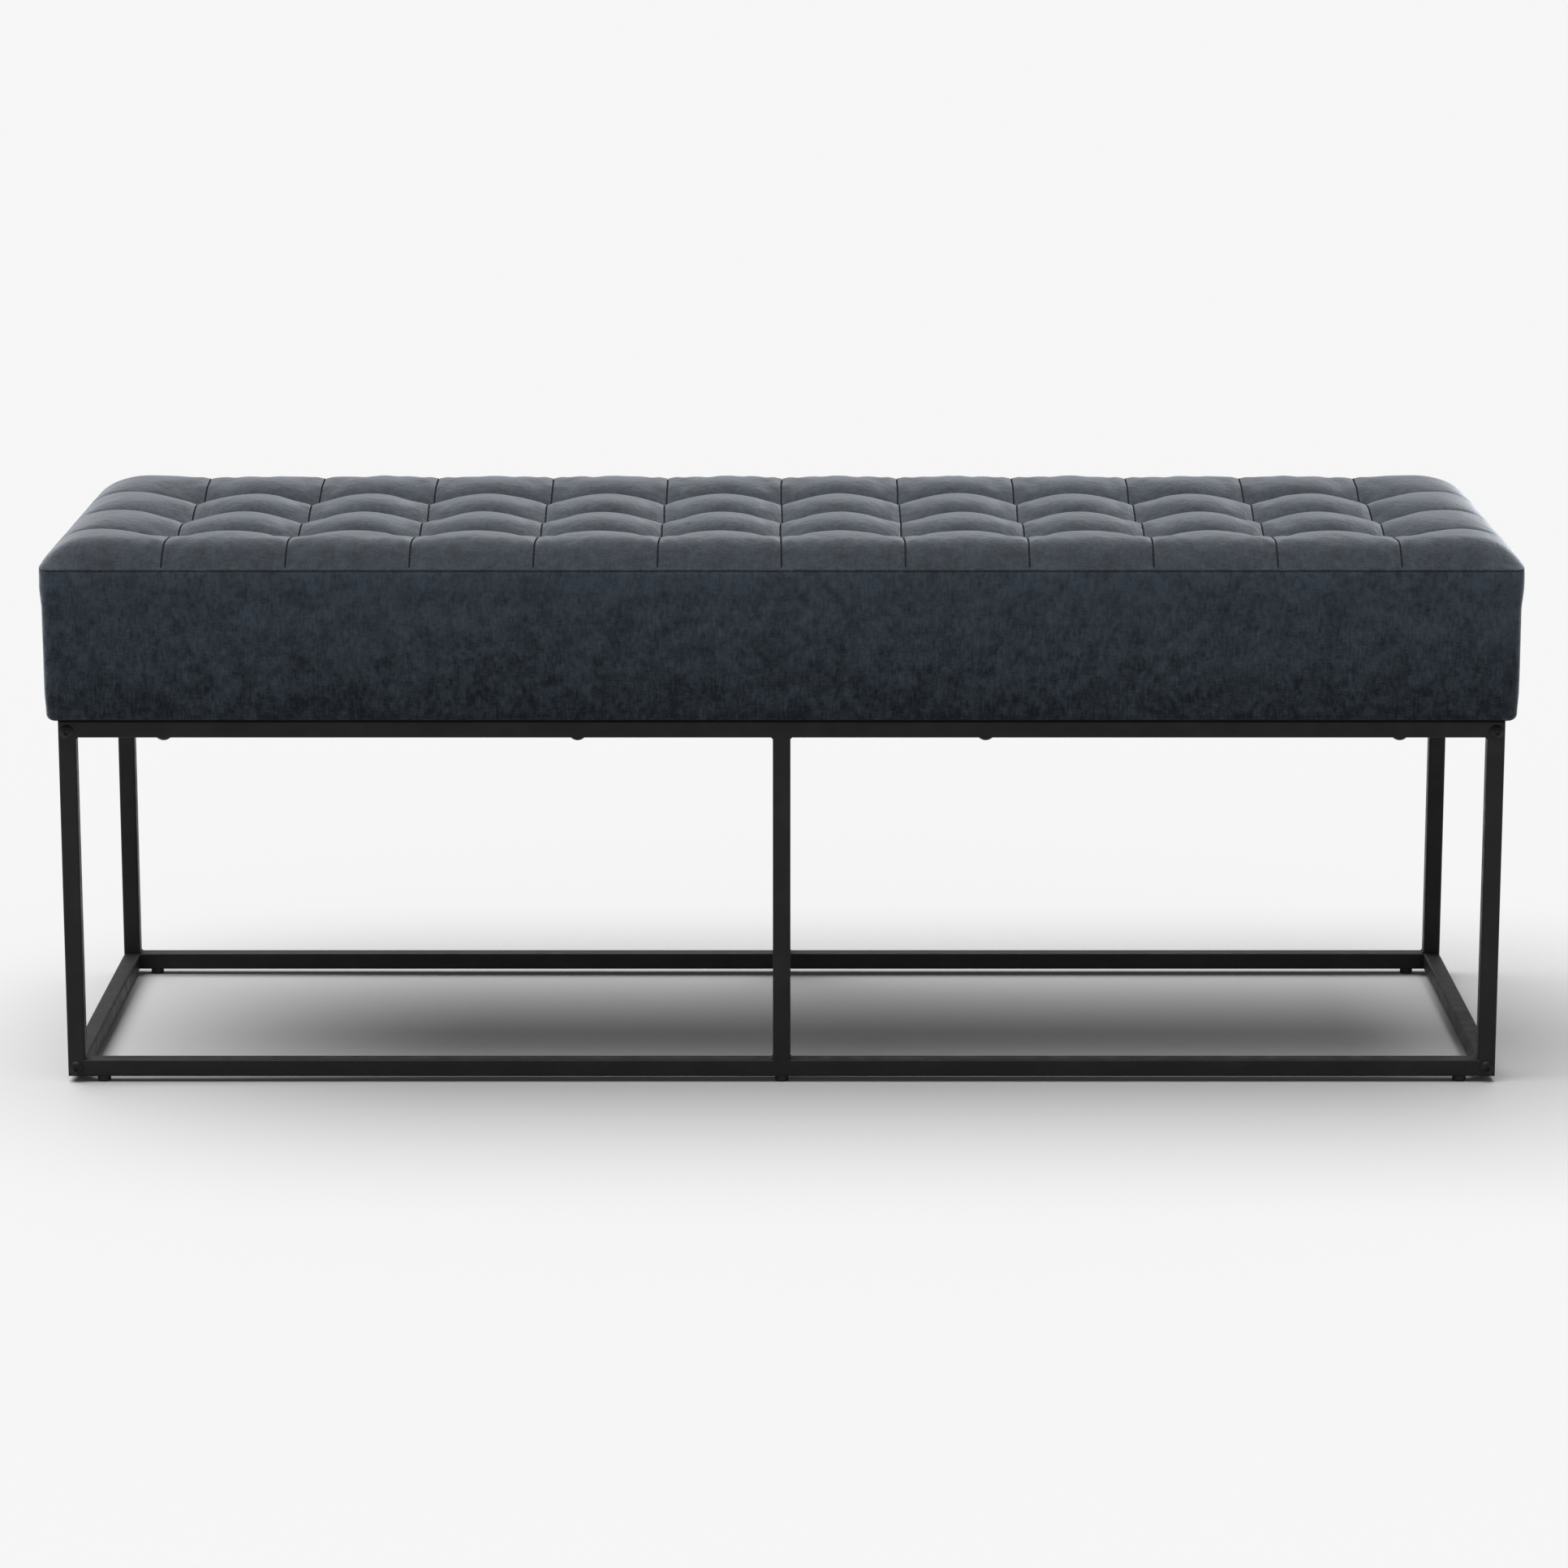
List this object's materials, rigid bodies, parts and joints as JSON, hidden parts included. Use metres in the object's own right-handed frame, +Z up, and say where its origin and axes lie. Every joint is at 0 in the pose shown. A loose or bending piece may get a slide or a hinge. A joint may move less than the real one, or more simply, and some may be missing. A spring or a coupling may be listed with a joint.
{
  "type": "entryway bench",
  "caption": "Long upholstered bench: a deep box seat with a square-tufted velvet top on an open frame of square steel tube.",
  "frame": {"origin": "on the floor, under the middle of the bench", "axes": "+X along the bench towards its right end as seen from the front, -Y towards the front, +Z up"},
  "size_m": [1.246, 0.415, 0.47],
  "materials": {
    "black_steel": "satin",
    "black_bolt": "satin",
    "zinc_steel": "satin",
    "foot_plastic": "matte",
    "pine": "matte",
    "plywood": "matte",
    "foam": "matte",
    "wadding": "matte",
    "twine": "matte",
    "toggle_plastic": "matte",
    "band_velvet": "matte",
    "tufted_velvet": "matte",
    "nonwoven": "matte"
  },
  "bodies": {
    "root": {"front_left_leg": "black_steel", "front_right_leg": "black_steel", "front_centre_leg": "black_steel", "front_top_rail": "black_steel", "front_bottom_rail": "black_steel", "rear_left_leg": "black_steel", "rear_right_leg": "black_steel", "rear_centre_leg": "black_steel", "rear_top_rail": "black_steel", "rear_bottom_rail": "black_steel", "front_frame_welds": "black_steel", "rear_frame_welds": "black_steel", "left_top_side_rail": "black_steel", "right_top_side_rail": "black_steel", "left_bottom_side_rail": "black_steel", "right_bottom_side_rail": "black_steel", "side_rail_end_nuts": "zinc_steel", "front_frame_bolts": "black_bolt", "rear_frame_bolts": "black_bolt", "seat_bolts": "black_bolt", "front_left_foot": "foot_plastic", "front_centre_foot": "foot_plastic", "front_right_foot": "foot_plastic", "rear_left_foot": "foot_plastic", "rear_centre_foot": "foot_plastic", "rear_right_foot": "foot_plastic", "seat_front_batten": "pine", "seat_rear_batten": "pine", "seat_left_batten": "pine", "seat_right_batten": "pine", "seat_left_cross_batten": "pine", "seat_right_cross_batten": "pine", "seat_insert_nuts": "zinc_steel", "seat_board": "plywood", "foam_pad": "foam", "tufting_ties": "twine", "tufting_toggles": "toggle_plastic", "side_wadding": "wadding", "side_cover": "band_velvet", "tufted_top_cover": "tufted_velvet", "dust_cover": "nonwoven", "cover_staples": "zinc_steel"}
  },
  "joints": []
}
